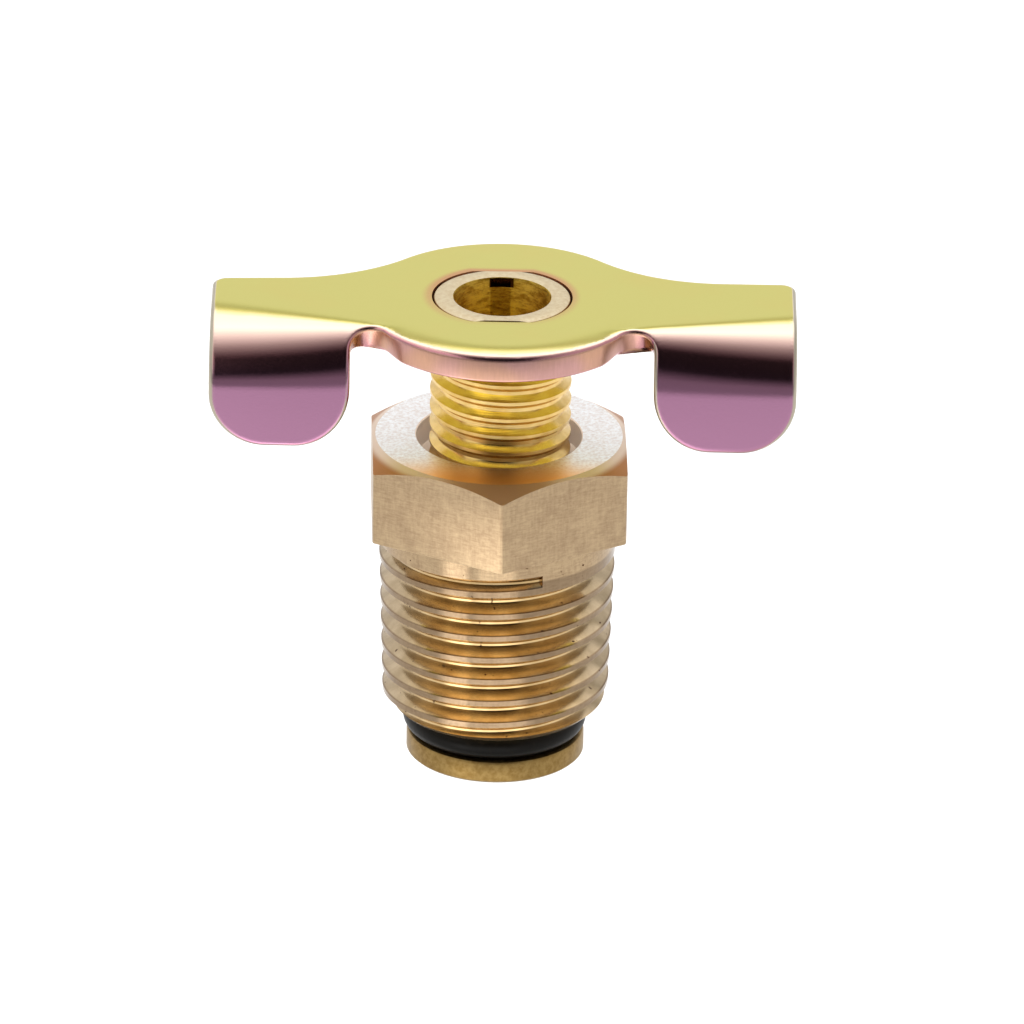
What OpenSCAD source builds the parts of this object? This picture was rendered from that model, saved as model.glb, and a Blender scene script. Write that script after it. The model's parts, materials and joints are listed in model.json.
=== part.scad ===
// Tank drain valve, closed. A hollow stem with a left-hand thread runs through a hexagon
// body. Turning the wing handle anticlockwise, seen from above, screws the stem down: the
// seal ring leaves its seat, and water runs in at the cross holes and out at the top.
// The origin is the centre of the stem's foot, on the surface that the valve stands on.
// +Z runs up along the stem, +X along the handle, and the wings fold down at -Y.

/* [Handle] */
// Length of the handle from wing tip to wing tip
handle_span = 32; // [28:0.5:36]
// Thickness of the sheet that the handle is stamped from
sheet_t = 1.5; // [1:0.1:1.8]
// Diameter of the round middle of the handle
disc_d = 15; // [14:0.1:16]
// Distance from the axis to the rear edge of the arms
arm_rear = 2.5; // [1.5:0.1:3.5]
// Distance from the axis to the front face of the wings
wing_front = 5.5; // [5:0.1:6.5]
// Gap between the round middle and the inner edge of each wing
wing_gap = 0.8; // [0.4:0.1:1.2]
// Height of the wings, from the top of the sheet to their lower edge
wing_drop = 6.7; // [5.5:0.1:7.5]
// Radius on the inside of the fold
fold_r = 0.4; // [0.3:0.05:0.45]
// Radius of the relief notch between the round middle and each wing
relief_r = 1.05; // [0.9:0.05:1.4]
// Radius that blends the round middle into the rear edge of each arm
neck_blend_r = 9; // [6:0.5:12]
// Corner radius at the bottom of the wings
wing_corner_r = 2.4; // [1:0.1:3]
// Corner radius at the rear end of the arms
arm_corner_r = 0.8; // [0.3:0.1:1.5]

/* [Stem] */
// Outside diameter of the left-hand thread
stem_d = 7.8; // [7.4:0.1:8.6]
// Pitch of that thread
stem_pitch = 1; // [0.8:0.05:1.25]
// Depth of that thread
stem_groove = 0.48; // [0.3:0.02:0.6]
// Length of plain stem under the handle, above the thread
stem_shoulder = 0.4; // [0.2:0.05:0.6]
// Diameter of the drain bore
drain_d = 5.35; // [4:0.05:5.8]
// Diameter of the stem's end in the handle
tang_d = 7.6; // [7:0.1:7.7]
// Width across the two flats of that end
tang_flats = 6.4; // [6.2:0.1:6.8]
// Height by which the stem's end stands above the handle
tang_proud = 0.2; // [0.05:0.05:0.6]
// Chamfer round the stem's end
tang_chamfer = 0.25; // [0.1:0.05:0.4]
// Diameter of the neck that carries the seal ring
ring_neck_d = 7; // [6.4:0.1:7.2]
// Diameter of the plain land above the neck
land_d = 7.7; // [7.4:0.1:7.8]
// Diameter of the groove where the thread runs out
runout_d = 6.9; // [6.6:0.1:7.2]
// Width of that groove
runout_w = 0.9; // [0.5:0.1:1.5]
// Diameter of the two holes that cross the stem above the ring
cross_d = 3; // [2:0.1:3.6]
// Diameter of the foot
foot_d = 9.9; // [9:0.1:11]
// Thickness of the foot
foot_t = 1.3; // [0.8:0.1:2]
// Chamfer on the foot's upper edge
foot_chamfer = 0.2; // [0.1:0.05:0.4]

/* [Seal ring] */
// Thickness of the ring's cord
ring_cord = 1.6; // [1.2:0.1:1.9]

/* [Body] */
// Width of the hexagon across its flats
hex_af = 14; // [13.8:0.1:15]
// Height of the hexagon
hex_h = 4.85; // [3:0.05:7]
// Angle that the hexagon is turned from the handle with the valve closed
hex_turn = 1.7; // [0:0.1:59.9]
// Angle of the chamfer round the top of the hexagon
hex_chamfer_a = 30; // [15:1:40]
// Distance that the chamfer reaches in from the flats
hex_chamfer_in = 0.12; // [0.05:0.01:0.5]
// Length of the body below the hexagon
shank_l = 11.3; // [9:0.1:14]
// Outside diameter of the tapered pipe thread next to the hexagon
pipe_d = 13.16; // [13:0.02:13.4]
// Pitch of the pipe thread, 19 to the inch
pipe_pitch = 1.337; // [1.2:0.001:1.5]
// Depth of the pipe thread
pipe_groove = 0.68; // [0.4:0.02:0.8]
// Length of plain shank between the hexagon and the thread
plain_l = 1.1; // [0.5:0.1:2]
// Growth in diameter for each millimetre of thread, 1 in 16
pipe_taper = 0.0625; // [0:0.0125:0.1]
// Chamfer at the lower end of the thread
end_chamfer = 0.73; // [0.4:0.01:0.9]
// Distance from the middle of the ring's cord out to the rim of its seat
seat_reach = 0.28; // [0.1:0.02:0.5]
// Gap round the stem in the recess in the hexagon's top
recess_gap = 0.62; // [0.4:0.02:1]
// Depth of that recess
recess_deep = 1.5; // [0.5:0.1:2.5]

/* [Travel and clearances] */
// Room between the handle and the hexagon with the valve closed
open_room = 6.75; // [5:0.05:9]
// Radial clearance between the stem and the body
stem_clear = 0.06; // [0.02:0.01:0.1]
// Clearance round the stem's end in the handle
tang_clear = 0.07; // [0.02:0.01:0.15]
// Clearance round the seal ring
ring_clear = 0.02; // [0.01:0.01:0.05]
// Wall left between the neck and the cross holes
cross_wall = 0.6; // [0.3:0.1:1.5]

/* [Hidden] */
$fn = 96;
// Cuts run past the faces that they open by this much
over = 1;
// Half the angle of a drill's point
drill_half_a = 59;
// Width of a thread's groove, as a part of its pitch
groove_share = 0.7;

// Radii
stem_r = stem_d / 2;
foot_r = foot_d / 2;
ring_neck_r = ring_neck_d / 2;
land_r = land_d / 2;
runout_r = runout_d / 2;
drain_r = drain_d / 2;
ring_r = ring_cord / 2;
ring_path_r = ring_neck_r + ring_clear + ring_r;
seat_r = ring_path_r + seat_reach;
body_bore_r = stem_r + stem_clear;
recess_r = body_bore_r + recess_gap;
pipe_r = pipe_d / 2;
hex_flat_r = hex_af / 2;
hex_corner_r = hex_flat_r / cos(30);
disc_r = disc_d / 2;

// Heights, from the foot up
ring_z = foot_t + ring_clear + ring_r;
body_z = ring_z + sqrt(pow(ring_r + ring_clear, 2) - pow(seat_reach, 2));
neck_top = ring_z + ring_r + ring_clear;
cross_z = body_z + cross_wall + cross_d / 2;
land_top = cross_z + cross_d / 2 + cross_wall;
thread_z = land_top + runout_w;
hex_z = body_z + shank_l;
hex_top = hex_z + hex_h;
sheet_z = hex_top + open_room;
sheet_top = sheet_z + sheet_t;
stem_top = sheet_top + tang_proud;

// The handle in plan. Fillet circles sink this far into the edges that they lead into, so
// that each arc crosses its edge at one clean corner
sink = 0.005;
half_span = handle_span / 2;
wing_inner = disc_r + wing_gap;
wing_low = sheet_top - wing_drop;
fold_outer_r = fold_r + sheet_t;
fold_y = -wing_front + fold_outer_r;
fold_end = sheet_top - fold_outer_r;
relief_x = wing_inner - relief_r + sink;
relief_y = -sqrt(pow(disc_r + relief_r - sink, 2) - pow(relief_x, 2));
blend_y = arm_rear + neck_blend_r - sink;
blend_x = sqrt(pow(disc_r + neck_blend_r - sink, 2) - pow(blend_y, 2));

// One arm in plan, flat part only, from the axis to its end, with the fillets that lead into it
module arm_outline() {
    difference() {
        union() {
            translate([0, fold_y]) square([half_span, arm_rear - fold_y]);
            polygon([[0, 0], [relief_x, relief_y], [relief_x, fold_y]]);
        }
        translate([relief_x, relief_y]) circle(r = relief_r);
        translate([half_span - arm_corner_r, arm_rear - arm_corner_r]) corner_cut(arm_corner_r);
    }
    difference() {
        polygon([[0, 0], [blend_x, blend_y], [blend_x, 0]]);
        translate([blend_x, blend_y]) circle(r = neck_blend_r);
    }
}

// The stem's end in plan: a circle with two flats, grown by a clearance
module tang_outline(grow) {
    intersection() {
        circle(r = tang_d / 2 + grow);
        square([tang_d + 2 * grow + over, tang_flats + 2 * grow], center = true);
    }
}

// What rounding takes off a corner, with the circle's centre at the origin
module corner_cut(radius) {
    difference() {
        square(radius + over);
        circle(r = radius);
    }
}

// The sheet's section where it folds down, seen along +X: a quarter ring and the upright part
module fold_section() {
    translate([fold_y, fold_end]) intersection() {
        difference() {
            circle(r = fold_outer_r);
            circle(r = fold_r);
        }
        translate([-fold_outer_r - over, 0]) square(fold_outer_r + over);
    }
    translate([-wing_front, wing_low]) square([sheet_t, fold_end - wing_low]);
}

// One folded wing, with the relief notch at its inner edge and two round lower corners
module wing() {
    difference() {
        translate([relief_x, 0, 0]) rotate([90, 0, 90]) linear_extrude(half_span - relief_x) fold_section();
        translate([0, 0, wing_low - over]) linear_extrude(wing_drop + 2 * over) {
            translate([relief_x, relief_y]) circle(r = relief_r);
            translate([relief_x - over, relief_y - wing_front]) square([wing_inner - relief_x + over, wing_front]);
        }
        translate([relief_x - over, -wing_front - over, wing_low - over])
            cube([wing_inner - relief_x + over, wing_front, fold_end - wing_low + over]);
        for (end = [0, 1])
            translate([end == 0 ? wing_inner + wing_corner_r : half_span - wing_corner_r, 0, wing_low + wing_corner_r])
                rotate([90, end == 0 ? 180 : 90, 0]) linear_extrude(wing_front + over) corner_cut(wing_corner_r);
    }
}

// The stamped handle: a round middle, two arms and two wings folded down at the front
module wing_handle() {
    color([0.80, 0.77, 0.42]) {
        translate([0, 0, sheet_z]) linear_extrude(sheet_t) difference() {
            union() {
                circle(r = disc_r);
                for (side = [0, 1]) mirror([side, 0]) arm_outline();
            }
            tang_outline(tang_clear);
        }
        for (side = [0, 1]) mirror([side, 0, 0]) wing();
    }
}

// A thread's relief as points of a turned section, from low to high: V grooves at its pitch,
// counted down from the thread's upper end. The solids have rings where the real one winds
function thread_relief(top_z, top_r, pitch, depth, count, slope = 0) = [
    for (i = [count - 1:-1:0], step = [-1:1])
        let (z = top_z - (i + groove_share / 2) * pitch + step * groove_share / 2 * pitch)
            [top_r - (top_z - z) * slope - (step == 0 ? depth : 0), z]
];

// The stem's outside below the handle, turned in one piece with its foot. The thread's
// grooves reach from the handle down into the recess in the body
module stem_blank() {
    grooves = floor((sheet_z - stem_shoulder - (hex_top - recess_deep)) / stem_pitch);
    rotate_extrude() polygon(concat(
        [
            [0, 0], [foot_r, 0], [foot_r, foot_t - foot_chamfer], [foot_r - foot_chamfer, foot_t],
            [ring_neck_r, foot_t], [ring_neck_r, neck_top], [land_r, neck_top],
            [land_r, land_top], [runout_r, land_top], [runout_r, thread_z - (stem_r - runout_r)],
            [stem_r, thread_z]
        ],
        thread_relief(sheet_z - stem_shoulder, stem_r, stem_pitch, stem_groove, grooves),
        [[stem_r, sheet_z], [0, sheet_z]]
    ));
}

// The end that the handle is fixed on, with flats front and rear and a chamfered rim
module tang() {
    tang_r = tang_d / 2;
    intersection() {
        translate([0, 0, sheet_z - over]) linear_extrude(stem_top - sheet_z + over) tang_outline(0);
        rotate_extrude() polygon([
            [0, sheet_z - over], [tang_r, sheet_z - over], [tang_r, stem_top - tang_chamfer],
            [tang_r - tang_chamfer, stem_top], [0, stem_top]
        ]);
    }
}

// The hollow stem: a drain bore from the top, and two holes that cross it above the ring
module valve_stem() {
    color([0.85, 0.68, 0.27]) difference() {
        union() {
            stem_blank();
            tang();
        }
        translate([0, 0, cross_z]) cylinder(r = drain_r, h = stem_top - cross_z + over);
        translate([0, 0, cross_z - drain_r / tan(drill_half_a)])
            cylinder(r1 = 0, r2 = drain_r, h = drain_r / tan(drill_half_a));
        for (turn = [0, 90])
            translate([0, 0, cross_z]) rotate([90, 0, turn]) cylinder(d = cross_d, h = foot_d, center = true);
    }
}

// The rubber ring round the neck, pressed between the foot and the body's lower end
module seal_ring() {
    color([0.08, 0.08, 0.09]) translate([0, 0, ring_z]) rotate_extrude() translate([ring_path_r, 0]) circle(r = ring_r);
}

// The hexagon, its corners turned down to a cone at the top
module hexagon() {
    rise = tan(hex_chamfer_a);
    top_r = hex_flat_r - hex_chamfer_in;
    outer_r = hex_corner_r + over;
    intersection() {
        translate([0, 0, hex_z]) rotate([0, 0, 30 + hex_turn]) linear_extrude(hex_h) circle(r = hex_corner_r, $fn = 6);
        rotate_extrude() polygon([
            [0, hex_z - over], [outer_r, hex_z - over], [outer_r, hex_top - (outer_r - top_r) * rise],
            [top_r, hex_top], [0, hex_top]
        ]);
    }
}

// The tapered shank that screws into the tank, with the grooves of its pipe thread
module shank() {
    thread_top = hex_z - plain_l;
    thread_low = body_z + end_chamfer;
    low_r = pipe_r - (thread_top - thread_low) * pipe_taper / 2;
    grooves = floor((thread_top - thread_low) / pipe_pitch);
    rotate_extrude() polygon(concat(
        [[0, body_z], [low_r - end_chamfer, body_z], [low_r, thread_low]],
        thread_relief(thread_top, pipe_r, pipe_pitch, pipe_groove, grooves, pipe_taper / 2),
        [[pipe_r, hex_z + over], [0, hex_z + over]]
    ));
}

// What is bored out of the body: the ring's seat, the stem's bore and the recess at the top
module body_bore() {
    seat_h = seat_r - body_bore_r;
    recess_z = hex_top - recess_deep;
    rotate_extrude() polygon([
        [0, body_z - over], [seat_r + over, body_z - over], [body_bore_r, body_z + seat_h],
        [body_bore_r, recess_z - recess_gap], [recess_r, recess_z], [recess_r, hex_top + over],
        [0, hex_top + over]
    ]);
}

// The body: hexagon and shank, bored for the stem
module valve_body() {
    color([0.80, 0.64, 0.45]) difference() {
        union() {
            hexagon();
            shank();
        }
        body_bore();
    }
}

valve_body();
valve_stem();
seal_ring();
wing_handle();
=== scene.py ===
# %% [markdown]
# # A tank drain valve, dressed for its portrait
# The valve is a small brass tap from the bottom of an air tank: a hexagon body with a tapered
# pipe thread, a hollow stem that screws through it, a rubber ring between the stem's foot and
# the body, and a stamped steel handle with two folded wings. The CAD model holds the true sizes
# and joints. Here each part is modelled again with what CAD leaves out: cut threads, the soft
# fold of the sheet, rounded edges and real finishes.

# %% Load the CAD frame
import json
import math

import bmesh
import bpy
from mathutils import Matrix, Vector

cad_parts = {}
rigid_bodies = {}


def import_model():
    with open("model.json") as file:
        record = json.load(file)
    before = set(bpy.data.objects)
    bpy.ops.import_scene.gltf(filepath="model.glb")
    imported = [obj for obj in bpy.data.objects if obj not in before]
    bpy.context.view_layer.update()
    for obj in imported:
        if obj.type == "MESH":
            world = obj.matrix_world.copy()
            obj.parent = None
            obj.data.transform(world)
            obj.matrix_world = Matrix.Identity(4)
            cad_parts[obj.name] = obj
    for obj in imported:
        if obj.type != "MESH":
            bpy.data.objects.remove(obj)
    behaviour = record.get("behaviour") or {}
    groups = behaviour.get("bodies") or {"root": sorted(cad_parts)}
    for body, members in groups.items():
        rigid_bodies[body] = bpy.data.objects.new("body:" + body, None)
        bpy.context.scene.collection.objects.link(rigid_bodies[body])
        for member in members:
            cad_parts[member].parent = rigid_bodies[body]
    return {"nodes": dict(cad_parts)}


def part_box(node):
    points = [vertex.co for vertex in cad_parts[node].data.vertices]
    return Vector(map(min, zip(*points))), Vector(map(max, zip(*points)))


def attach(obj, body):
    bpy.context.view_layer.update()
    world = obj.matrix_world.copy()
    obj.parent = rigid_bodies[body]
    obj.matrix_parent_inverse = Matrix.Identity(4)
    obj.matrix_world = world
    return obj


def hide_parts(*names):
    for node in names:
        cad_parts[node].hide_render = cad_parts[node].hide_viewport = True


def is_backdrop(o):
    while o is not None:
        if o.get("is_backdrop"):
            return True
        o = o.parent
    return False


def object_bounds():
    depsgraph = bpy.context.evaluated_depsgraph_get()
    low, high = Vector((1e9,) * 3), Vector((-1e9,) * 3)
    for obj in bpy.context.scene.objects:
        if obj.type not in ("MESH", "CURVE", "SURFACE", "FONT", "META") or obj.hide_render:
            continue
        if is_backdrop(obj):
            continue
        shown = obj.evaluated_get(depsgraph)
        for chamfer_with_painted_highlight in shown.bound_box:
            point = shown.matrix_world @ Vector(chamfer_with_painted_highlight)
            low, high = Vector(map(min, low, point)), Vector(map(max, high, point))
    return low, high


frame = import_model()
cad_box = [list(chamfer_with_painted_highlight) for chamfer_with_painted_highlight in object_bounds()]
print("CAD nodes:", sorted(frame["nodes"]))
print("CAD box in mm:", [[round(v * 1000, 2) for v in chamfer_with_painted_highlight] for chamfer_with_painted_highlight in cad_box])

# %% [markdown]
# ## Sizes
# Nearly the sizes of the CAD source, in millimetres. A closer look at the picture gave the disc a
# little more width and set the stem's end level with the sheet. The stem hangs to one side in
# the play of its thread, by the last of the sizes. The modelling is done at one unit to the
# millimetre, because Blender's operators like shapes of about that size, and each finished
# piece is then shrunk to metres with its place kept in its mesh.

# %% Sizes of the handle
HANDLE_SPAN = 32.0
SHEET = 1.5
DISC_BACK_R = 7.65
DISC_FRONT_R = 8.0
ARM_REAR = 2.5  # how far the arms reach behind the middle
WING_INNER = 8.3  # from the middle to the inner edge of a wing
WING_DROP = 6.7  # how far the wings hang below the top of the sheet
BLANK_FRONT = -10.65  # the front edge of the wings before they are folded
RELIEF_R = 1.05  # the notch between the disc and a wing
BLEND_R = 9.0  # from the disc into the arms, behind
WING_CORNER_R = 3.05
ARM_CORNER_R = 0.8
RIM_SAG = 0.26  # how far the disc's front rim hangs below its middle
print("handle:", HANDLE_SPAN, "mm across, sheet", SHEET, "mm, wings", WING_DROP, "mm deep")

# %% Sizes of the stem and its ring
STEM_R = 3.9
STEM_PITCH = 1.0
FOOT_R = 4.95
FOOT_T = 1.3
NECK_R = 3.5
LAND_R = 3.85  # the plain part with the cross holes
RUN_OUT_R = 3.45  # the groove that the thread runs into
DRAIN_R = 2.675
CROSS_R = 1.5
CROSS_WALL = 0.6  # brass left above and below the cross holes
TANG_R = 3.8  # the end that the handle sits on
TANG_FLAT = 3.42  # from the middle to one of its two flats
TANG_PROUD = 0.04
TANG_CLEAR = 0.07
RING_R = 0.8
RING_PATH_R = 4.32
RING_CLEAR = 0.02
PLAY = 0.05  # how far the stem hangs to the right in its thread
print("stem:", 2 * STEM_R, "mm thread, foot", 2 * FOOT_R, "mm, ring", 2 * RING_R, "mm thick")

# %% Sizes of the body
HEX_FLAT_R = 7.0
HEX_H = 4.85
HEX_TURN = 1.7  # degrees
HEX_TOP_R = 6.86  # the round face that the corner cone leaves
SHANK_L = 11.3
PLAIN_L = 1.1  # the unthreaded part below the hexagon
PIPE_R = 6.58
PIPE_PITCH = 1.337
TAPER = 0.03125  # of the radius, which is 1 in 16 of the diameter
END_CHAMFER = 0.73
SEAT_REACH = 0.28  # how far the seat's edge lies outside the middle of the ring's section
BORE_R = STEM_R + 0.06
SEAT_R = 4.6
RECESS_R = 4.58
RECESS_DEEP = 1.5
OPEN_ROOM = 6.75  # from the hexagon up to the handle of the closed valve
print("body:", 2 * HEX_FLAT_R, "mm across flats, pipe thread", 2 * PIPE_R, "mm, pitch", PIPE_PITCH, "mm")

# %% Heights that follow from them
ring_z = FOOT_T + RING_CLEAR + RING_R
body_z = ring_z + math.sqrt((RING_R + RING_CLEAR) ** 2 - SEAT_REACH ** 2)
hex_z = body_z + SHANK_L
hex_top = hex_z + HEX_H
sheet_z = hex_top + OPEN_ROOM
sheet_top = sheet_z + SHEET
stem_top = sheet_top + TANG_PROUD
print("body from", round(body_z, 2), "hexagon from", round(hex_z, 2), "to", round(hex_top, 2))
print("handle sheet from", round(sheet_z, 2), "to", round(sheet_top, 2))
for name, top in (("valve_body", hex_top), ("wing_handle", sheet_top), ("valve_stem", stem_top)):
    print(name, "top differs from CAD by", round(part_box(name)[1].z * 1000 - top, 4), "mm")

# %% [markdown]
# ## Camera
# A picture of such a small thing is taken from far away with a long lens, so that it hardly
# narrows to the back. The camera stands square to the handle, about 24 degrees above the table,
# and it is tilted by one degree, because the valve in the picture leans a little.

# %% Camera
target = Vector((0, 0, 0.014))
distance = 0.6
elevation = math.radians(24.45)
azimuth = math.radians(-0.05)
lean = math.radians(0.95)
picture_px = 1024
px_per_mm = 18.05  # how large a millimetre at the target shows in the picture
shift_px = (14.3, 5)

away = Vector((
    -math.cos(elevation) * math.sin(azimuth),
    -math.cos(elevation) * math.cos(azimuth),
    math.sin(elevation)))
lens_px = px_per_mm * 600
bpy.ops.object.camera_add(location=target + away * distance)
camera = bpy.context.object
camera.name = "camera"
facing = (-away).to_track_quat("-Z", "Y").to_matrix() @ Matrix.Rotation(lean, 3, "Z")
camera.rotation_euler = facing.to_euler()
camera.data.sensor_width = 36
camera.data.lens = lens_px * 36 / picture_px
camera.data.shift_x = shift_px[0] / picture_px
camera.data.shift_y = shift_px[1] / picture_px
camera.data.clip_start = 0.05
camera.data.clip_end = 20
bpy.context.scene.camera = camera
print("camera at", [round(v, 3) for v in camera.location], "lens", round(camera.data.lens, 1), "mm")

# %% [markdown]
# ## Tools of the bench
# A few helpers stand for what the hand does in the viewport: picking a piece, picking parts of
# its mesh by their place, turning a section on the lathe, and cutting one solid with another.

# %% Picking pieces and parts of a mesh
def take(piece):
    """Makes this piece the active one and the only one selected."""
    bpy.ops.object.select_all(action="DESELECT")
    piece.select_set(True)
    bpy.context.view_layer.objects.active = piece


def edit(piece, mode="VERT"):
    """Opens a piece in edit mode with nothing selected."""
    take(piece)
    bpy.ops.object.mode_set(mode="EDIT")
    bpy.ops.mesh.select_mode(type=mode)
    bpy.ops.mesh.select_all(action="DESELECT")


def done():
    bpy.ops.object.mode_set(mode="OBJECT")


def pick(piece, kind, test):
    """Selects the verts, edges or faces that pass a test and says how many there are."""
    mesh = bmesh.from_edit_mesh(piece.data)
    found = 0
    for part in getattr(mesh, kind):
        part.select = bool(test(part))
        found += part.select
    mesh.select_flush_mode()
    bmesh.update_edit_mesh(piece.data)
    return found


def close_up():
    """Turns all faces of the open piece outwards."""
    bpy.ops.mesh.select_all(action="SELECT")
    bpy.ops.mesh.normals_make_consistent(inside=False)


# %% Starting shapes
def polygon(name, points):
    """A closed line through points, from Blender's circle of as many vertices."""
    bpy.ops.object.select_all(action="DESELECT")
    bpy.ops.mesh.primitive_circle_add(vertices=len(points), radius=1)
    piece = bpy.context.object
    piece.name = name
    for vertex, point in zip(piece.data.vertices, points):
        vertex.co = point
    return piece


def rod(radius, depth, location, points, rotation=(0, 0, 0)):
    """A cylinder with its place and turn in its mesh."""
    bpy.ops.object.select_all(action="DESELECT")
    bpy.ops.mesh.primitive_cylinder_add(
        vertices=points, radius=radius, depth=depth, location=location, rotation=rotation)
    bpy.ops.object.transform_apply(location=True, rotation=True, scale=True)
    return bpy.context.object


def block(name, low, high):
    """A box between two corners."""
    bpy.ops.object.select_all(action="DESELECT")
    size = [h - l for l, h in zip(low, high)]
    middle = [(l + h) / 2 for l, h in zip(low, high)]
    bpy.ops.mesh.primitive_cube_add(size=1, location=middle, scale=size)
    piece = bpy.context.object
    piece.name = name
    bpy.ops.object.transform_apply(location=True, rotation=True, scale=True)
    return piece


# %% Turning and cutting
def turned(name, section, steps=128):
    """Turns a section, a list of (radius, height), about the Z axis, as a lathe does."""
    piece = polygon(name, [(r, 0, z) for r, z in section])
    ends = {0, len(section) - 1}
    edit(piece, "EDGE")
    pick(piece, "edges", lambda e: {v.index for v in e.verts} == ends)
    bpy.ops.mesh.delete(type="EDGE")
    bpy.ops.mesh.select_mode(type="VERT")
    bpy.ops.mesh.select_all(action="SELECT")
    bpy.ops.mesh.spin(steps=steps, angle=2 * math.pi, center=(0, 0, 0), axis=(0, 0, 1))
    bpy.ops.mesh.select_all(action="SELECT")
    bpy.ops.mesh.remove_doubles(threshold=0.0005)
    close_up()
    done()
    return piece


def combine(piece, tool, operation="DIFFERENCE"):
    """Cuts piece with tool, or joins or keeps what they share, and throws the tool away."""
    take(piece)
    cut = piece.modifiers.new("cut", "BOOLEAN")
    cut.operation = operation
    cut.solver = "EXACT"
    cut.object = tool
    bpy.ops.object.modifier_apply(modifier=cut.name)
    bpy.data.objects.remove(tool)
    return piece


# %% Finishing a piece
def open_edges(piece):
    """How many edges don't join exactly two faces; a closed skin has none."""
    mesh = bmesh.new()
    mesh.from_mesh(piece.data)
    count = sum(len(e.link_faces) != 2 for e in mesh.edges)
    mesh.free()
    return count


def finished(piece, body, node, smooth=32):
    """Shrinks a finished piece to metres, smooths it up to an angle and hands it to the frame."""
    take(piece)
    piece.scale = (0.001,) * 3
    bpy.ops.object.transform_apply(location=True, rotation=True, scale=True)
    bpy.ops.object.shade_smooth_by_angle(angle=math.radians(smooth))
    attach(piece, body)
    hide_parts(node)
    print(piece.name, len(piece.data.polygons), "faces, open edges:", open_edges(piece))


# %% [markdown]
# ## Cutting a thread
# A thread is one groove that winds up round the bar. Its section is drawn once beside the axis,
# a Screw modifier winds it into a long spring-like tool, and the tool is cut out of the bar,
# which leaves the sharp run-out where the groove ends, as a die does. The pipe thread is 1 in 16
# tapered, so its tool is drawn in towards the lower end.

# %% The groove's section and how it is wound
THREAD_STEPS = 96  # in each turn
FADE_TURNS = 0.4  # over which a groove gets its full depth


def groove(crest_r, shape):
    """The closed section of a groove, from (depth below the crest, half its width) pairs."""
    side = [(crest_r - depth, half) for depth, half in shape]
    return side + [(r, -z) for r, z in reversed(side)]


def wound(name, section, pitch, turns):
    """Winds a section about the Z axis and says whether it rises and whether it goes left."""
    tool = polygon(name, [(r, 0, z) for r, z in section])
    winding = tool.modifiers.new("winding", "SCREW")
    winding.angle = 2 * math.pi * turns
    winding.screw_offset = pitch * turns
    winding.steps = round(THREAD_STEPS * turns)
    winding.render_steps = winding.steps
    winding.use_merge_vertices = False
    winding.iterations = 1
    bpy.ops.object.modifier_apply(modifier=winding.name)
    rises = max(v.co.z for v in tool.data.vertices) > pitch
    leftwards = tool.data.vertices[len(section)].co.y > 0
    return tool, rises, leftwards


# %% The thread tool
def thread_tool(name, section, pitch, turns, start_angle, start_z, hand, taper=0.0, fade=0.0):
    """A wound groove that starts at an angle and a height and runs downwards. A hand of 1 is right."""
    tool, rises, leftwards = wound(name, section, pitch, turns)
    right_handed = rises == leftwards
    mirror = 1 if right_handed == (hand > 0) else -1
    for vertex in tool.data.vertices:
        x, y, z = vertex.co
        y = y * mirror
        z = z - pitch * turns if rises else z
        turns_down = max(0, -z / pitch)
        shift = fade * max(0, 1 - turns_down / FADE_TURNS) - taper * -z
        r = math.hypot(x, y) + shift
        angle = math.atan2(y, x)
        vertex.co = (r * math.cos(angle), r * math.sin(angle), z)
    top = max(tool.data.vertices, key=lambda v: v.co.z).co
    turn_by = start_angle - math.atan2(top.y, top.x)
    tool.data.transform(Matrix.Translation((0, 0, start_z)) @ Matrix.Rotation(turn_by, 4, "Z"))
    edit(tool)
    bpy.ops.mesh.select_all(action="SELECT")
    bpy.ops.mesh.fill_holes(sides=0)
    close_up()
    done()
    return tool


# %% [markdown]
# ## The body
# The body is turned and milled from hexagon bar. The hexagon starts as a six-sided cylinder with
# its upright edges broken by a bevel, and a cone takes its top corners off, which leaves the
# round top face and the six arcs. The shank is turned, threaded, and joined to it.

# %% Hexagon
upright_break = 0.14
rim_break = 0.07
valve_body = rod(HEX_FLAT_R / math.cos(math.radians(30)), HEX_H, (0, 0, hex_z + HEX_H / 2), 6,
                 rotation=(0, 0, math.radians(HEX_TURN)))
valve_body.name = "body_hexagon_and_thread"
edit(valve_body, "EDGE")
upright = pick(valve_body, "edges", lambda e: abs(e.verts[0].co.z - e.verts[1].co.z) > 1)
bpy.ops.mesh.bevel(offset=upright_break, segments=3, affect="EDGES")
rim = pick(valve_body, "edges", lambda e: max(v.co.z for v in e.verts) < hex_z + 0.01)
bpy.ops.mesh.bevel(offset=rim_break, segments=2, affect="EDGES")
done()
print("broken edges of the hexagon:", upright, "upright and", rim, "round its lower rim")

# %% Cone over the corners
cone_r = 9.2  # well outside the corners
rise = math.tan(math.radians(30))
cone = turned("corner_cone", [
    (0, hex_z - 1), (cone_r, hex_z - 1), (cone_r, hex_top - 0.02 - (cone_r - HEX_TOP_R) * rise),
    (HEX_TOP_R, hex_top - 0.02), (HEX_TOP_R - 0.03, hex_top), (0, hex_top)], 192)
combine(valve_body, cone, "INTERSECT")
print("hexagon faces:", len(valve_body.data.polygons), [round(v, 2) for v in valve_body.dimensions])

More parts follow.
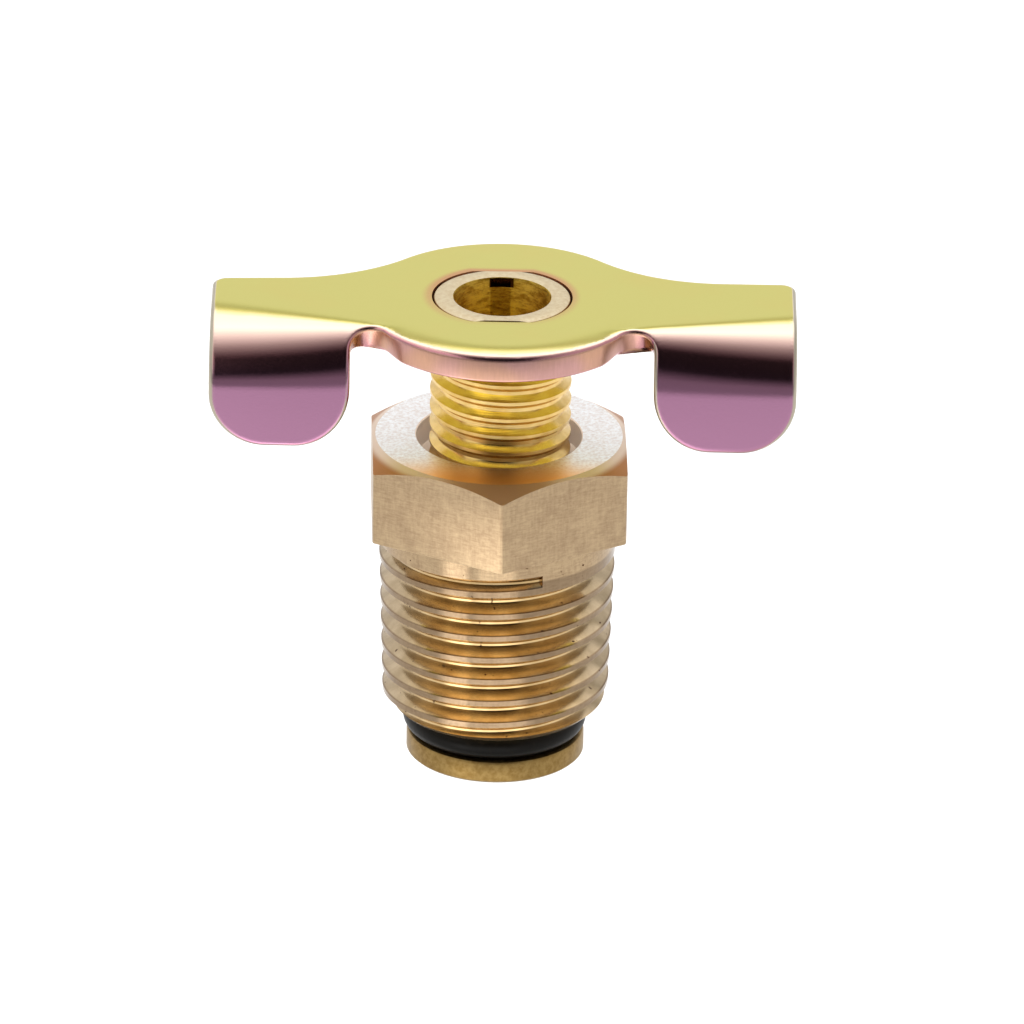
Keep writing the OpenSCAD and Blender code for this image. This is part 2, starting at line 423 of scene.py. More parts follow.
# %% Shank and pipe thread
thread_low = body_z + END_CHAMFER
low_r = PIPE_R - (hex_z - PLAIN_L - thread_low) * TAPER
end_r = low_r - END_CHAMFER
inside_hexagon = hex_z + 0.6
shank = turned("shank", [
    (0, body_z), (end_r - 0.05, body_z), (end_r, body_z + 0.05), (low_r, thread_low),
    (PIPE_R, hex_z - PLAIN_L), (PIPE_R, inside_hexagon), (0, inside_hexagon)], 192)
pipe_groove = thread_tool(
    "pipe_groove", groove(PIPE_R, [(-0.22, 0.66), (0.58, 0.17), (0.68, 0.06)]), PIPE_PITCH, 8.6,
    start_angle=math.radians(HEX_TURN - 69), start_z=hex_z - 1.22, hand=1, taper=TAPER, fade=0.42)
combine(shank, pipe_groove)
print("threaded shank faces:", len(shank.data.polygons))
combine(valve_body, shank, "UNION")

# %% Bore, seat and recess
recess_slope = 0.62
bore = turned("bore", [
    (0, body_z - 1), (SEAT_R + 1, body_z - 1), (BORE_R, body_z + SEAT_R - BORE_R),
    (BORE_R, hex_top - RECESS_DEEP - recess_slope), (RECESS_R, hex_top - RECESS_DEEP),
    (RECESS_R, hex_top - 0.06), (RECESS_R + 0.06, hex_top), (RECESS_R + 1.06, hex_top + 1),
    (0, hex_top + 1)])
combine(valve_body, bore)
finished(valve_body, "body", "valve_body", 30)

# %% [markdown]
# ## The stem
# One turned bar of brass: a broad foot, a neck for the ring, a left-hand thread of one
# millimetre pitch, and at the top an end with two flats that the handle is fixed on. A drain
# hole is bored down from the top and meets two small holes across the stem.

# %% Turned stem with its bore
neck_top = ring_z + RING_R + RING_CLEAR
cross_z = body_z + CROSS_WALL + CROSS_R
land_top = cross_z + CROSS_R + CROSS_WALL
drill_tip = DRAIN_R / math.tan(math.radians(59))
foot_outside = [
    (0, 0), (FOOT_R - 0.12, 0), (FOOT_R, 0.12), (FOOT_R, FOOT_T - 0.2),
    (FOOT_R - 0.06, FOOT_T - 0.06), (FOOT_R - 0.2, FOOT_T)]
neck_and_land = [
    (NECK_R, FOOT_T), (NECK_R, neck_top), (LAND_R, neck_top), (LAND_R, land_top)]
run_out = [(RUN_OUT_R, land_top), (RUN_OUT_R, land_top + 0.45), (STEM_R, land_top + 0.9)]
tang_outside = [
    (STEM_R, sheet_z), (TANG_R, sheet_z), (TANG_R, stem_top - 0.25),
    (TANG_R - 0.08, stem_top - 0.08), (TANG_R - 0.25, stem_top)]
drain = [
    (DRAIN_R + 0.12, stem_top), (DRAIN_R + 0.03, stem_top - 0.03), (DRAIN_R, stem_top - 0.12),
    (DRAIN_R, cross_z), (0, cross_z - drill_tip)]
valve_stem = turned("stem_with_foot", foot_outside + neck_and_land + run_out + tang_outside + drain, 144)
print("turned stem faces:", len(valve_stem.data.polygons))

# %% Flats, cross holes and left-hand thread
for flat_from, flat_to in ((-6, -TANG_FLAT), (TANG_FLAT, 6)):
    combine(valve_stem, block("flat", (-5, flat_from, sheet_z), (5, flat_to, stem_top + 1)))
for turn, points in ((0, 48), (90, 52)):
    crosswise = (math.radians(90), 0, math.radians(turn))
    combine(valve_stem, rod(CROSS_R, 12, (0, 0, cross_z), points, crosswise))
stem_groove = thread_tool(
    "stem_groove", groove(STEM_R, [(-0.06, 0.45), (0.30, 0.20), (0.36, 0.10)]), STEM_PITCH, 16.2,
    start_angle=math.radians(-90), start_z=sheet_z - 0.75, hand=-1)
combine(valve_stem, stem_groove)
combine(valve_stem, block("nick", (-0.65, 2.3, stem_top - 0.6), (0.45, 3.0, stem_top - 0.08)))
valve_stem.data.transform(Matrix.Translation((PLAY, 0, 0)))
finished(valve_stem, "spindle", "valve_stem", 30)

# %% [markdown]
# ## The seal ring
# A rubber ring is a torus, but a moulded one also has a fine line where the two halves of its
# mould met and the flash was ground off, so its outermost loop is drawn in a little.

# %% Rubber ring
bpy.ops.object.select_all(action="DESELECT")
bpy.ops.mesh.primitive_torus_add(
    major_radius=RING_PATH_R, minor_radius=RING_R, major_segments=144, minor_segments=36,
    location=(0, 0, ring_z))
seal_ring = bpy.context.object
seal_ring.name = "rubber_ring"
bpy.ops.object.transform_apply(location=True, rotation=True, scale=True)
edit(seal_ring)
outermost = RING_PATH_R + RING_R - 0.001
outer = pick(seal_ring, "verts", lambda v: math.hypot(v.co.x, v.co.y) > outermost)
bpy.ops.transform.resize(value=(0.9985, 0.9985, 1), center_override=(0, 0, ring_z))
print("points on the mould line:", outer)
done()
finished(seal_ring, "seal", "seal_ring", 60)

# %% [markdown]
# ## The stamped handle
# The real handle is punched flat from sheet and then folded in a press. It is made the same way
# here: the flat blank's outline, a grid of cuts so that it can bend, and then the fold. The fold
# is a cone rather than a cylinder: tight beside the round middle and loose at the tips, and
# this is what draws the highlight into a wedge.

# %% Arcs and straight runs of an outline
def arc(centre, radius, start, end, count):
    angles = [math.radians(start + (end - start) * i / count) for i in range(count + 1)]
    return [(centre[0] + radius * math.cos(a), centre[1] + radius * math.sin(a)) for a in angles]


def straight(start, end, step):
    count = max(1, round(math.dist(start, end) / step))
    return [tuple(s + (e - s) * i / count for s, e in zip(start, end)) for i in range(count + 1)]


# %% Centres of the notches, the blends and the corners
half_span = HANDLE_SPAN / 2
relief_x = WING_INNER - RELIEF_R
relief = (relief_x, -math.sqrt((DISC_FRONT_R + RELIEF_R) ** 2 - relief_x ** 2))
blend_y = ARM_REAR + BLEND_R
blend = (math.sqrt((DISC_BACK_R + BLEND_R) ** 2 - blend_y ** 2), blend_y)
relief_a = math.degrees(math.atan2(relief[1], relief[0]))
blend_a = math.degrees(math.atan2(blend[1], blend[0]))
corner_y = BLANK_FRONT + WING_CORNER_R
inner_corner = (WING_INNER + WING_CORNER_R, corner_y)
outer_corner = (half_span - WING_CORNER_R, corner_y)
rear_corner = (half_span - ARM_CORNER_R, ARM_REAR - ARM_CORNER_R)
print("notch centre", [round(v, 2) for v in relief], "blend centre", [round(v, 2) for v in blend])

# %% Outline of the flat blank
half = (arc((0, 0), DISC_FRONT_R, -90, relief_a, 40)
        + arc(relief, RELIEF_R, 180 + relief_a, 0, 22)
        + straight((WING_INNER, relief[1]), (WING_INNER, corner_y), 0.25)
        + arc(inner_corner, WING_CORNER_R, 180, 270, 18)
        + straight((inner_corner[0], BLANK_FRONT), (outer_corner[0], BLANK_FRONT), 0.6)
        + arc(outer_corner, WING_CORNER_R, 270, 360, 18)
        + straight((half_span, corner_y), (half_span, rear_corner[1]), 0.25)
        + arc(rear_corner, ARM_CORNER_R, 0, 90, 8)
        + straight((rear_corner[0], ARM_REAR), (blend[0], ARM_REAR), 0.8)
        + arc(blend, BLEND_R, 270, 180 + blend_a, 22)
        + arc((0, 0), DISC_BACK_R, blend_a, 90, 30))
right = [p for i, p in enumerate(half) if i == 0 or math.dist(p, half[i - 1]) > 0.01]
outline = right + [(-x, y) for x, y in reversed(right[1:-1])]
handle = polygon("stamped_handle", [(x, y, sheet_top) for x, y in outline])
print("blank outline points:", len(outline))

# %% Blank with rolled edges
def flat_ends(face):
    return abs(face.normal.z) > 0.9 and face.calc_area() > 50


edit(handle)
bpy.ops.mesh.select_all(action="SELECT")
bpy.ops.mesh.edge_face_add()
bpy.ops.mesh.select_mode(type="FACE")
bpy.ops.mesh.select_all(action="SELECT")
bpy.ops.mesh.extrude_region_move(TRANSFORM_OT_translate={"value": (0, 0, -SHEET)})
close_up()
print("flat faces of the blank:", pick(handle, "faces", flat_ends))
bpy.ops.mesh.select_mode(type="EDGE")
rim = pick(handle, "edges", lambda e: abs(e.verts[0].co.z - e.verts[1].co.z) < 0.01)
bpy.ops.mesh.bevel(offset=0.25, segments=5, affect="EDGES", clamp_overlap=True)
bpy.ops.mesh.select_mode(type="FACE")
pick(handle, "faces", flat_ends)
bpy.ops.mesh.inset(thickness=0.12)
print("rolled edges:", rim)

# %% Cuts where it will bend
FOLD_REAR = -0.8  # nothing bends behind this line
across = [0.3 + 0.6 * i for i in range(9)]
across += [5.5 + 0.35 * i for i in range(9)]
across += [8.75 + 0.62 * i for i in range(12)]
cuts = [((0, FOLD_REAR - 0.22 * i, 0), (0, 1, 0)) for i in range(42)]
cuts += [((side * x, 0, 0), (1, 0, 0)) for side in (-1, 1) for x in across]
for spot, facing in cuts:
    bpy.ops.mesh.select_all(action="SELECT")
    bpy.ops.mesh.bisect(plane_co=spot, plane_no=facing)
bpy.ops.mesh.select_all(action="SELECT")
bpy.ops.mesh.remove_doubles(threshold=0.004)
close_up()
done()
print("blank faces:", len(handle.data.polygons), "open edges:", open_edges(handle))

# %% [markdown]
# ## The fold
# Each wing is folded over a quarter of an ellipse. Where it starts, how far out its front face
# stands and how tall it is all change from the disc to the tip, and they differ a little from
# left to right, as on the real one, which the press didn't bend quite evenly. Between the disc
# and the wings the sheet passes smoothly from flat to folded.

# %% Shape of the fold
BEND_FROM = 5.4  # flat nearer to the middle than this
BEND_FULL = 7.4  # fully folded further out than this
RIM_WIDTH = 1.4  # the part of the disc that sags at its front rim
FOLD_STEPS = 40


def fold_at(x):
    """Where the bend starts, where its front face stands, its height and how low the wing reaches."""
    along = min(1, (abs(x) - WING_INNER) / (half_span - WING_INNER))
    out = max(0, along)
    if x < 0:
        start = -3.45 + 2.8 * along
        front = -5.9 + 0.55 * out ** 1.8
        height = 3.1 + 0.15 * out
        drop = 6.6 + 0.06 * out
    else:
        start = -3.74 + 1.94 * along
        front = -5.75 + 0.2 * out ** 2
        height = 3.25 + 0.15 * out
        drop = 6.63 + 0.17 * out
    return start, front, height, drop


def sagged(x, y, z):
    """The flat sheet, with the disc's front rim pressed down a little."""
    bend = min(1, max(0, (abs(x) - BEND_FROM) / (BEND_FULL - BEND_FROM)))
    edge = min(1, max(0, (math.hypot(x, y) - DISC_FRONT_R + RIM_WIDTH) / RIM_WIDTH)) if y < 0 else 0
    return Vector((x, y, z - RIM_SAG * (edge * y / DISC_FRONT_R) ** 2 * (1 - bend))), bend


# %% Folding the blank
def round_the_fold(x, y, z):
    """Where a point of the flat wing ends up: on the quarter ellipse or on the straight below it."""
    start, front, height, drop = fold_at(x)
    depth = start - front
    angles = [math.radians(90 * i / FOLD_STEPS) for i in range(FOLD_STEPS + 1)]
    points = [(start - depth * math.sin(a), sheet_top - height * (1 - math.cos(a))) for a in angles]
    points.append((front, sheet_top - drop))
    angles.append(angles[-1])
    lengths = [math.dist(a, b) for a, b in zip(points, points[1:])]
    way = (start - y) / (start - BLANK_FRONT) * sum(lengths)
    step = 0
    while step < FOLD_STEPS and way > lengths[step]:
        way -= lengths[step]
        step += 1
    share = way / lengths[step]
    a = angles[step] + (angles[step + 1] - angles[step]) * share
    out = Vector((0, -height * math.sin(a), depth * math.cos(a))).normalized()
    (y0, z0), (y1, z1) = points[step], points[step + 1]
    return Vector((x, y0 + (y1 - y0) * share, z0 + (z1 - z0) * share)) + out * (z - sheet_top)


def folded(x, y, z):
    flat, bend = sagged(x, y, z)
    if bend == 0 or y >= fold_at(x)[0]:
        return flat
    return flat.lerp(round_the_fold(x, y, z), bend * bend * (3 - 2 * bend))


for vertex in handle.data.vertices:
    vertex.co = folded(*vertex.co)
    vertex.co.z -= 0.15 * max(0, (-vertex.co.x - 7) / 9) ** 1.5
    vertex.co.x += PLAY + 0.05 + 0.1 * max(0, (vertex.co.x - 8) / 8)
low, high = [[f(v.co[k] for v in handle.data.vertices) for k in range(3)] for f in (min, max)]
print("folded handle from", [round(v, 2) for v in low], "to", [round(v, 2) for v in high])

# %% The hole with two flats
hole_flat = TANG_FLAT + TANG_CLEAR
hole = rod(TANG_R + TANG_CLEAR, 6, (PLAY, 0, sheet_z), 128)
flats = block("between_flats", (-6, -hole_flat, sheet_z - 4), (6, hole_flat, sheet_z + 4))
combine(hole, flats, "INTERSECT")
combine(handle, hole)
finished(handle, "spindle", "wing_handle", 35)

# %% [markdown]
# ## Shader arithmetic
# A finish is easier to read as a formula than as boxes and wires. The class below wraps one
# socket of a material's node tree, so that Python's plus, minus and times add Math nodes. Masks
# are numbers from 0 to 1, and they are multiplied to say "here and also there".

# %% A socket that can be added and multiplied
class Wire:
    def __init__(self, tree, socket):
        self.tree = tree
        self.socket = socket

    def node(self, kind, settings=None, inputs=None, output=0):
        """Adds any node: its type, its settings, its values or wires, and which output to use."""
        made = self.tree.nodes.new("ShaderNode" + kind)
        for name, value in (settings or {}).items():
            if name == "stops":
                stops = made.color_ramp.elements
                while len(stops) < len(value):
                    stops.new(0.5)
                for stop, (place, colour) in zip(stops, value):
                    stop.position = place
                    stop.color = (*colour, 1)
            else:
                setattr(made, name, value)
        for name, value in (inputs or {}).items():
            if isinstance(value, Wire):
                self.tree.links.new(value.socket, made.inputs[name])
            else:
                made.inputs[name].default_value = value
        return Wire(self.tree, made.outputs[output])

    def maths(self, operation, *numbers):
        return self.node("Math", {"operation": operation}, dict(enumerate(numbers)))

    def __add__(self, other):
        return self.maths("ADD", self, other)

    def __radd__(self, other):
        return self.maths("ADD", other, self)

    def __sub__(self, other):
        return self.maths("SUBTRACT", self, other)

    def __rsub__(self, other):
        return self.maths("SUBTRACT", other, self)

    def __mul__(self, other):
        return self.maths("MULTIPLY", self, other)

    def __rmul__(self, other):
        return self.maths("MULTIPLY", other, self)

    def __truediv__(self, other):
        return self.maths("DIVIDE", self, other)

    def __pow__(self, other):
        return self.maths("POWER", self, other)

    def __abs__(self):
        return self.maths("ABSOLUTE", self)

    def larger(self, other):
        return self.maths("MAXIMUM", self, other)

    def clipped(self, low=0.0, high=1.0):
        return self.node("Clamp", {}, {"Value": self, "Min": low, "Max": high})

    def between(self, low, high):
        """0 below low, 1 above high and smooth between them."""
        return self.node(
            "MapRange", {"interpolation_type": "SMOOTHSTEP"},
            {"Value": self, "From Min": low, "From Max": high})

    def mix(self, first, second):
        """Goes from the first colour to the second as this value goes from 0 to 1."""
        colours = [c if isinstance(c, Wire) else (*c, 1) for c in (first, second)]
        return self.node("Mix", {"data_type": "RGBA"}, {0: self, 6: colours[0], 7: colours[1]}, 2)

    def ramp(self, *stops):
        return self.node("ValToRGB", {"stops": stops}, {"Fac": self})

    def axis(self, number):
        return self.node("SeparateXYZ", {}, {0: self}, number)

    def stretched(self, x, y, z):
        return self.node("Mapping", {}, {"Vector": self, "Scale": (x, y, z)})

    def noise(self, scale, detail=3.0, roughness=0.5):
        return self.node(
            "TexNoise", {}, {"Vector": self, "Scale": scale, "Detail": detail, "Roughness": roughness})

    def bump(self, strength, distance=0.00002):
        return self.node("Bump", {}, {"Height": self, "Strength": strength, "Distance": distance})


# %% Starting and ending a finish
def srgb(*levels):
    """A colour as picked on screen, 0 to 255, in the linear values that a shader needs."""
    shares = [level / 255 for level in levels]
    return tuple(s / 12.92 if s < 0.0404 else ((s + 0.055) / 1.055) ** 2.4 for s in shares)


def patchy(mask, first, second):
    """Lays two colours over a surface in patches, where a noise goes through its middle."""
    return mask.between(0.3, 0.7).mix(first, second)


def finish(name, metallic=1.0):
    """A new material: its shader, the place on the object in mm, and which way the surface faces."""
    material = bpy.data.materials.new(name)
    material.use_nodes = True
    tree = material.node_tree
    shader = tree.nodes["Principled BSDF"]
    shader.inputs["Metallic"].default_value = metallic
    coordinates = tree.nodes.new("ShaderNodeTexCoord")
    place = Wire(tree, coordinates.outputs["Object"])
    facing = Wire(tree, coordinates.outputs["Normal"])
    in_mm = place.node("VectorMath", {"operation": "SCALE"}, {0: place, "Scale": 1000.0})
    return material, shader, in_mm, facing


def dress(piece, material, shader, **sockets):
    """Feeds the shader's sockets and puts the material on a piece."""
    for name, value in sockets.items():
        material.node_tree.links.new(value.socket, shader.inputs[name.replace("_", " ")])
    piece.data.materials.clear()
    piece.data.materials.append(material)
    print(material.name, "has", len(material.node_tree.nodes), "nodes")


# %% [markdown]
# ## Yellow zinc on the handle
# The steel is zinc plated and dipped in a yellow chromate bath. The film is so thin that its
# colour comes from interference: on the wings, which the camera sees flat on, it is pink to
# violet, and on the top, which it sees at a low angle, it is a greenish yellow. The colour is
# laid by which way the surface faces on the handle itself, so that it stays put in every view.
# Where the fold starts to turn down, the same ramp also paints a pale cream highlight into the film.
# The punched edge is rougher and copper coloured, and the film is rubbed off at the wings' rims.
# The pale grey of the wing ends is partly that wear and partly a painted highlight of the bright sides.

# %% Where things are on the handle
zinc, shader, place, facing = finish("yellow_zinc")
x, y, z = [place.axis(k) for k in range(3)]
from_middle = abs(x)
level = abs(facing.axis(2))
end_on = abs(facing.axis(0))
cloud = place.noise(0.22, 4.0)
grain = place.noise(9.0, 2.0)
on_wings = from_middle.between(8.2, 8.3) * (1.0 - y.between(0.5, 1.0))
sheared = (1.0 - on_wings) * (1.0 - level.between(0.2, 0.6))
# The wing ends, which face sideways, are painted pale grey: partly worn film, partly a painted highlight of
# the bright sides.
wing_ends_worn_and_painted_highlight = (end_on.between(0.12, 0.5) * from_middle.between(8.31, 8.4)).clipped()
wing_low = sheet_top - WING_DROP
lower_rim = 1.0 - z.between(wing_low + 0.1, wing_low + 0.45)
radius = (x * x + y * y) ** 0.5
from_hole = (radius - TANG_R - 0.07).larger(abs(y) - TANG_FLAT - 0.07)
heat = y * 0.14 + 0.55 + cloud * 0.3
halo = (1.0 - from_hole.between(0.05, 0.6)) * heat * level.between(0.9, 0.98)
print("nodes that say where things are on the handle:", len(zinc.node_tree.nodes))

# %% Film, cut edge and rubbed rims
# The pale cream stops from 0.82 to 0.965 are a painted highlight at the start of the fold; the pink, violet
# and greenish yellow stops are the film's own colours.
film_and_painted_highlight = (level + (cloud - 0.5) * 0.03).ramp(
    (0.0, srgb(162, 116, 144)), (0.30, srgb(166, 117, 140)), (0.60, srgb(200, 136, 142)),
    (0.82, srgb(240, 202, 190)), (0.90, srgb(246, 226, 204)), (0.965, srgb(236, 224, 190)),
    (0.99, srgb(210, 196, 104)), (1.0, srgb(207, 199, 106)))
streaks = place.stretched(5.0, 5.0, 0.7).noise(1.6, 3.0)
patches = place.noise(0.35, 1.0).between(0.35, 0.65)
copper = patches.mix(srgb(204, 158, 132), srgb(198, 152, 146))
cut_edge = (streaks.between(0.3, 0.7) * 0.14).mix(copper, srgb(142, 110, 96))
coated = halo.clipped().mix(sheared.mix(film_and_painted_highlight, cut_edge), srgb(204, 150, 98))
# The pale grey at the wing ends is partly wear and partly a painted highlight; the greyish pink at the
# lower rims is rubbed film.
rubbed_and_painted_highlight = lower_rim.mix(srgb(172, 164, 146), srgb(150, 126, 124))
where_rubbed_and_painted_highlight = (wing_ends_worn_and_painted_highlight + lower_rim * level.between(0.2, 0.6)).clipped()
dress(handle, zinc, shader,
      Base_Color=where_rubbed_and_painted_highlight.mix(coated, rubbed_and_painted_highlight),
      Roughness=0.13 + grain * 0.06 + sheared * 0.2 + wing_ends_worn_and_painted_highlight * 0.2,
      Normal=grain.bump(0.08))

# %% [markdown]
# ## Brass of the stem
# The stem is bright free-cutting brass with fine turning lines. Its foot has gone dull, its end
# face is pale from the tool, and the bore is rough and blotchy, with painted shade in the nick at its back.

# %% Where things are on the stem
bright_brass, shader, place, facing = finish("bright_brass")
x, y, z = [place.axis(k) for k in range(3)]
up = facing.axis(2)
radius = (x * x + y * y) ** 0.5
lines = place.stretched(0.05, 0.05, 6.0).noise(4.0, 3.0)
spots = place.noise(1.3, 4.0)
blotch = place.noise(3.0, 5.0, 0.7)
rough_bore = place.stretched(0.7, 0.7, 2.0).noise(1.6, 5.0, 0.75)
foot = 1.0 - z.between(1.45, 1.6)
crown = z.between(stem_top - 0.2, stem_top - 0.1)
end_face = z.between(stem_top - 0.3, stem_top - 0.2) * up.between(0.8, 0.95)
bored = (1.0 - radius.between(2.75, 2.8)) * (1.0 - up.between(0.5, 0.9))
nick_wide = (1.0 - (x * x).between(0.4, 0.5)) * y.between(2.25, 2.3)
nick_high = z.between(stem_top - 0.62, stem_top - 0.6) * (1.0 - z.between(stem_top - 0.08, stem_top - 0.06))
nick = nick_wide * nick_high
print("nodes that say where things are on the stem:", len(bright_brass.node_tree.nodes))

# %% Bright, dull and rough brass
bright = patchy(spots, srgb(226, 194, 126), srgb(212, 175, 102))
dull = patchy(blotch, srgb(148, 122, 74), srgb(124, 97, 52))
faced = patchy(blotch, srgb(222, 208, 176), srgb(206, 186, 150))
rough = rough_bore.between(0.36, 0.64).mix(srgb(255, 228, 112), srgb(186, 146, 48))
outside = crown.mix(foot.mix(bright, dull), end_face.mix(srgb(204, 178, 124), faced))
# Painted shade: the nick at the back of the bore is coloured dark brown to stand for the shade in it.
bore_and_painted_nick_shade = nick.mix(rough, srgb(70, 42, 14))
dress(valve_stem, bright_brass, shader,
      Base_Color=(bored + nick).clipped().mix(outside, bore_and_painted_nick_shade),
      Roughness=0.2 + foot * 0.16 + bored * 0.2 + crown * 0.25 + lines * 0.08,
      Normal=bored.mix(lines, rough_bore).bump(0.25))

# %% [markdown]
# ## Brass of the body
# The body is the same metal with a duller, pinkish skin, and its flats keep the small dashes of
# the mill. The top face is pale and turns coppery towards the front. In the thread grooves the
# brass is painted brighter and deeper in colour than on the crests, as painted light for the light
# that bounces from flank to flank, and at the two sides the grooves are painted greyer, as a
# painted reflection of the side walls. A few pits show in the shank.

# %% Where things are on the body
pinkish_brass, shader, place, facing = finish("pinkish_brass")
x, y, z = [place.axis(k) for k in range(3)]
up = facing.axis(2)
radius = (x * x + y * y) ** 0.5
on_hexagon = z.between(hex_z - 0.05, hex_z + 0.05)
upwards = up.between(0.93, 0.98) * radius.between(4.4, 4.5)
on_top = z.between(hex_top - 0.12, hex_top - 0.04) * upwards
sloping = up.between(0.3, 0.5) * (1.0 - up.between(0.9, 0.95))
on_chamfer = z.between(hex_top - 1.2, hex_top - 1.1) * sloping
in_recess = on_hexagon * (1.0 - radius.between(4.62, 4.66)) * (1.0 - up.between(0.5, 0.9))
crest_r = (hex_z - PLAIN_L - z) * -TAPER + PIPE_R
in_groove = (crest_r - radius).between(0.03, 0.12) * (1.0 - on_hexagon)
at_sides = (x * x).between(8.0, 30.0)
threaded = 1.0 - z.between(hex_z - 1.35, hex_z - 1.2)
print("nodes that say where things are on the body:", len(pinkish_brass.node_tree.nodes))

# %% Marks of the mill, spots and pits
rows = place.stretched(0.9, 0.9, 6.0).noise(1.7, 3.0, 0.7)
columns = place.stretched(5.0, 5.0, 0.9).noise(1.2, 3.0, 0.7)
speckle = place.noise(5.5, 2.0, 0.7)
spots = place.noise(0.9, 4.0)
pits = place.noise(3.2, 1.0).between(0.745, 0.77) * (1.0 - on_hexagon)
milled = rows * 0.35 + columns * 0.25 + spots * 0.25 + speckle * 0.15
dashes = milled.between(0.36, 0.64)
print("nodes with the marks of the mill:", len(pinkish_brass.node_tree.nodes))

# %% Skin of the body
tan = dashes.mix(srgb(178, 154, 121), srgb(150, 126, 98))
crest = dashes.mix(srgb(142, 121, 96), srgb(124, 103, 80))
# Painted light and reflection: the grooves get a brighter copy of the brass than the crests, and at the
# left and right sides a greyer one that stands for the side walls mirrored in them.
groove_front_painted_light = patchy(spots, srgb(205, 176, 128), srgb(188, 157, 108))
groove_sides_painted_reflection = patchy(spots, srgb(182, 162, 132), srgb(160, 140, 110))
thread = in_groove.mix(crest, at_sides.mix(groove_front_painted_light, groove_sides_painted_reflection))
shank_skin = threaded.mix(tan, thread)
# Painted highlight: the pale band along the upper edge of the chamfer arcs at the sides.
side_chamfer_with_painted_highlight = z.between(hex_top - 0.36, hex_top - 0.12).mix(srgb(176, 124, 84), srgb(220, 198, 180))
chamfer_with_painted_highlight = abs(x).between(2.2, 4.5).mix(srgb(190, 150, 112), side_chamfer_with_painted_highlight)
hexagon_skin = on_chamfer.mix(tan, chamfer_with_painted_highlight)
pale = patchy(speckle, srgb(250, 251, 253), srgb(228, 219, 215))
top_skin = y.between(-6.3, -2.9).mix(srgb(246, 192, 130), pale)
outside = on_top.mix(on_hexagon.mix(shank_skin, hexagon_skin), top_skin)
skin = in_recess.mix(outside, srgb(218, 206, 196))
dress(valve_body, pinkish_brass, shader,
      Base_Color=pits.mix(skin, srgb(80, 52, 32)),
      Roughness=(0.11 + in_groove * 0.02 + on_hexagon * 0.19 + on_chamfer * 0.1 + on_top * 0.04
                 + speckle * 0.08),
      Metallic=1.0 - in_recess * 0.6,
      Normal=on_hexagon.mix(spots, milled * 0.7 + speckle * 0.3).bump(0.3))

# %% [markdown]
# ## Rubber of the ring
# The ring is black nitrile rubber, a little oily, so it has a soft sheen and holds some dust.

# %% Black rubber
black_rubber, shader, place, _ = finish("black_rubber", 0.0)
shader.inputs["Specular IOR Level"].default_value = 0.09
dust = place.noise(2.5, 4.0)
dress(seal_ring, black_rubber, shader,
      Base_Color=dust.between(0.55, 0.85).mix(srgb(9, 7, 4), srgb(22, 17, 11)),
      Roughness=0.26 + dust * 0.2,
      Normal=dust.bump(0.4))

# %% [markdown]
# ## Table and light
# Shiny metal shows the room more than itself, so the light is planned as a room: a white table,
# a bright wall behind, a soft box above and behind, and a dark gap above the camera, which gives
# the folds their black band. The table is lit so well that it is white in the picture, and two
# patches on it are brighter still: the flanks of the threads mirror them. It lies as low as the
# foot of the open valve reaches, so that it hides nothing in any pose.

# %% White table
stem_travel = 6.0
table_z = -(stem_travel + 0.5) / 1000
bpy.ops.object.select_all(action="DESELECT")
bpy.ops.mesh.primitive_plane_add(size=6, location=(0, 0, table_z))
table = bpy.context.object
table.name = "table"
white_table, shader, place, _ = finish("white_table", 0.0)
shader.inputs["Roughness"].default_value = 0.9
shader.inputs["Specular IOR Level"].default_value = 0.0
shader.inputs["Emission Strength"].default_value = 1.0
x, y = place.axis(0), place.axis(1)
away_from = (x * x + y * y + 1.0) ** 0.5
leftward = (-1.0 * x) / away_from
sector = leftward.between(0.42, 0.445) * (1.0 - leftward.between(0.68, 0.84))
in_front = 1.0 - y.between(-1.0, 0.0)
near = away_from.between(16.0, 20.0) * (1.0 - away_from.between(34.0, 70.0))
strip = y.between(-56.0, -46.0) * (1.0 - y.between(-18.0, -15.0)) * (1.0 - (x * x).between(90.0, 260.0))
glow = sector * in_front * near * 0.7 + strip * 0.4
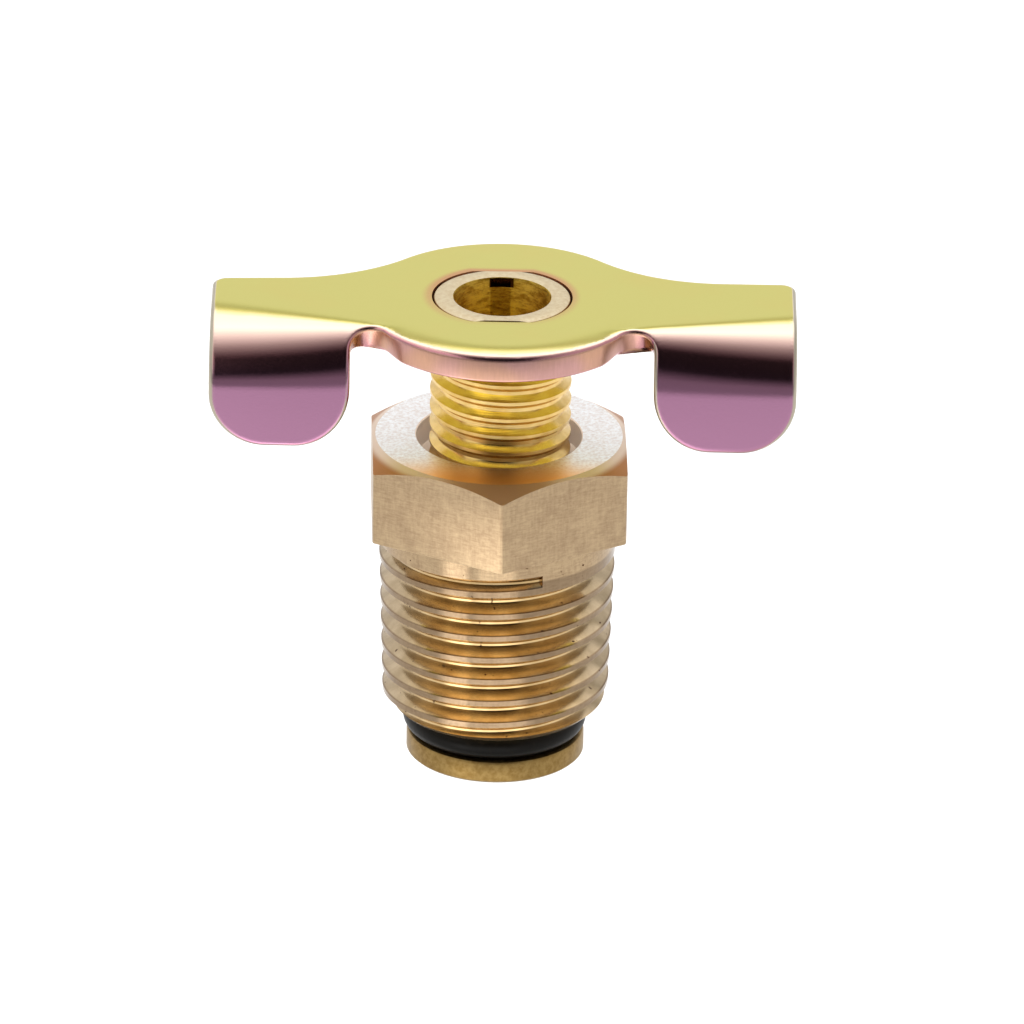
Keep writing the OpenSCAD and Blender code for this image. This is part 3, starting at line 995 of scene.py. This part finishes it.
dress(table, white_table, shader,
      Base_Color=y.between(-116.0, -62.0).mix((0.12,) * 3, (0.38,) * 3),
      Emission_Color=glow.mix((0.0,) * 3, (3.0,) * 3))
table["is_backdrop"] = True

# %% The room round the table
room = bpy.data.worlds.new("room")
bpy.context.scene.world = room
room.use_nodes = True
sky = room.node_tree
coordinates = sky.nodes.new("ShaderNodeTexCoord")
direction = Wire(sky, coordinates.outputs["Generated"])
east, north, upwards = [direction.axis(k) for k in range(3)]
west = -1.0 * east
print("world:", room.name)

# %% Brightness from the table in front, over the top and down to the table behind
over = upwards.maths("ARCTAN2", upwards, -1.0 * north) / math.pi
levels = ((0.0, 0.2), (0.022, 0.15), (0.075, 0.01), (0.27, 0.01), (0.33, 0.1), (0.41, 0.27),
          (0.52, 0.7), (0.60, 1.0), (0.76, 1.0), (0.795, 0.42), (0.83, 0.5), (0.855, 0.65), (1.0, 0.65))
along_middle = over.ramp(*[(height, (grey,) * 3) for height, grey in levels])
beside_gap = (east * east).between(0.08, 0.22) * 0.3
room_light = along_middle.larger(beside_gap)
soft_box = west.between(0.45, 0.5) * (1.0 - west.between(0.8, 0.92)) * upwards.between(0.15, 0.3)
side_walls = east.between(0.5, 0.8) + west.between(0.85, 0.95)
light = side_walls.mix(soft_box.mix(room_light, (0.75,) * 3), (0.5,) * 3)
background = sky.nodes["Background"]
sky.links.new(light.socket, background.inputs["Color"])
background.inputs["Strength"].default_value = 1.6
print("room nodes:", len(sky.nodes))

# %% A lamp for the table alone
bpy.ops.object.light_add(type="SUN", location=(0, 0, 1))
lamp = bpy.context.object
lamp.name = "table_lamp"
lamp.data.energy = 8.0
lamp.data.angle = math.radians(70)
lamp.data.use_shadow = False
lamp.visible_glossy = False
view_settings = bpy.context.scene.view_settings
view_settings.view_transform = "Standard"
view_settings.look = "None"
print("lamp strength:", lamp.data.energy)

# %% Sizes before and after, and the end
visual_box = [list(chamfer_with_painted_highlight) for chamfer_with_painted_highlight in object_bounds()]
beyond = [[round((v - c) * 1000, 3) for v, c in zip(a, b)] for a, b in zip(visual_box, cad_box)]
print("visual minus CAD box in mm:", beyond)
